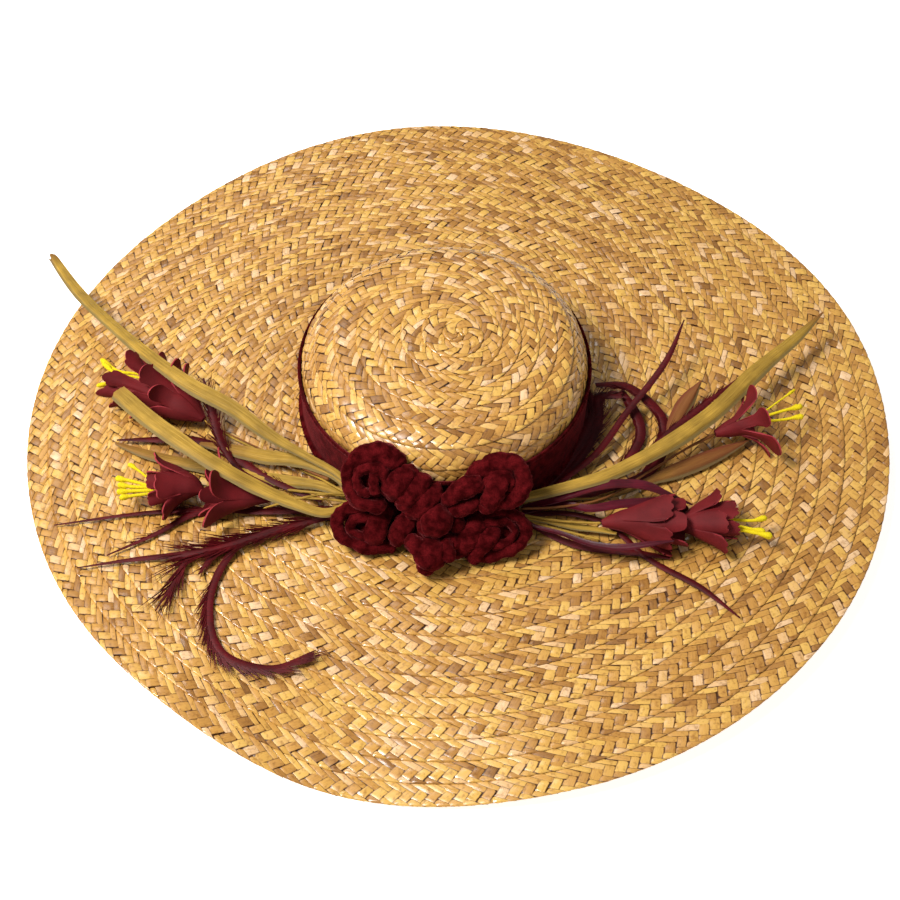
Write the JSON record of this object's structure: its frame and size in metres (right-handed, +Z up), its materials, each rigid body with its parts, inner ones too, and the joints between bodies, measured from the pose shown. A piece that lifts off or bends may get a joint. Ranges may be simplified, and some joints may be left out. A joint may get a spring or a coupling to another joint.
{
  "type": "wide-brimmed straw boater hat",
  "caption": "Wide-brimmed sewn-straw hat with a low round crown, velvet band and bow, dried leaves, bell flowers and feathers across the front.",
  "frame": {"origin": "on the floor, below the middle of the bounding box", "axes": "+Z up out of the crown, -Y towards the front with the bow, +X towards the wearer's left"},
  "size_m": [0.5689, 0.56, 0.0749],
  "materials": {
    "straw": "sewn plaited straw, satin gloss",
    "velvet": "burgundy velvet ribbon, matt pile",
    "leaf": "dried leaf and wire stem, matt",
    "foam": "burgundy craft foam, matt",
    "feather": "dyed stripped feather, soft gloss",
    "stamen": "yellow flocked stamens, matt"
  },
  "bodies": {
    "root": {"band": "velvet", "binding_left": "velvet", "binding_right": "velvet", "bow_knot_centre": "velvet", "bow_knot_lower": "velvet", "bow_lobe_lower_left": "velvet", "bow_lobe_lower_right": "velvet", "bow_lobe_upper_left": "velvet", "bow_lobe_upper_right": "velvet", "bow_neck_lower_left": "velvet", "bow_neck_lower_right": "velvet", "bow_neck_upper_left": "velvet", "bow_neck_upper_right": "velvet", "brim": "straw", "crown": "straw", "feathers_left": "feather", "feathers_right": "feather", "flower_left_inner": "foam", "flower_left_large": "foam", "flower_left_outer": "foam", "flower_right_inner": "foam", "flower_right_outer": "foam", "flower_right_upper": "foam", "leaf_left_front": "leaf", "leaf_left_inner": "leaf", "leaf_left_long": "leaf", "leaf_left_low": "leaf", "leaf_right_brown": "leaf", "leaf_right_long": "leaf", "leaf_right_low": "leaf", "leaf_right_upright": "leaf", "stamens_left_large": "stamen", "stamens_left_outer": "stamen", "stamens_right_outer": "stamen", "stamens_right_upper": "stamen", "stem_left_inner": "leaf", "stem_left_large": "leaf", "stem_left_outer": "leaf", "stem_right_inner": "leaf", "stem_right_outer": "leaf", "stem_right_upper": "leaf"}
  },
  "joints": []
}
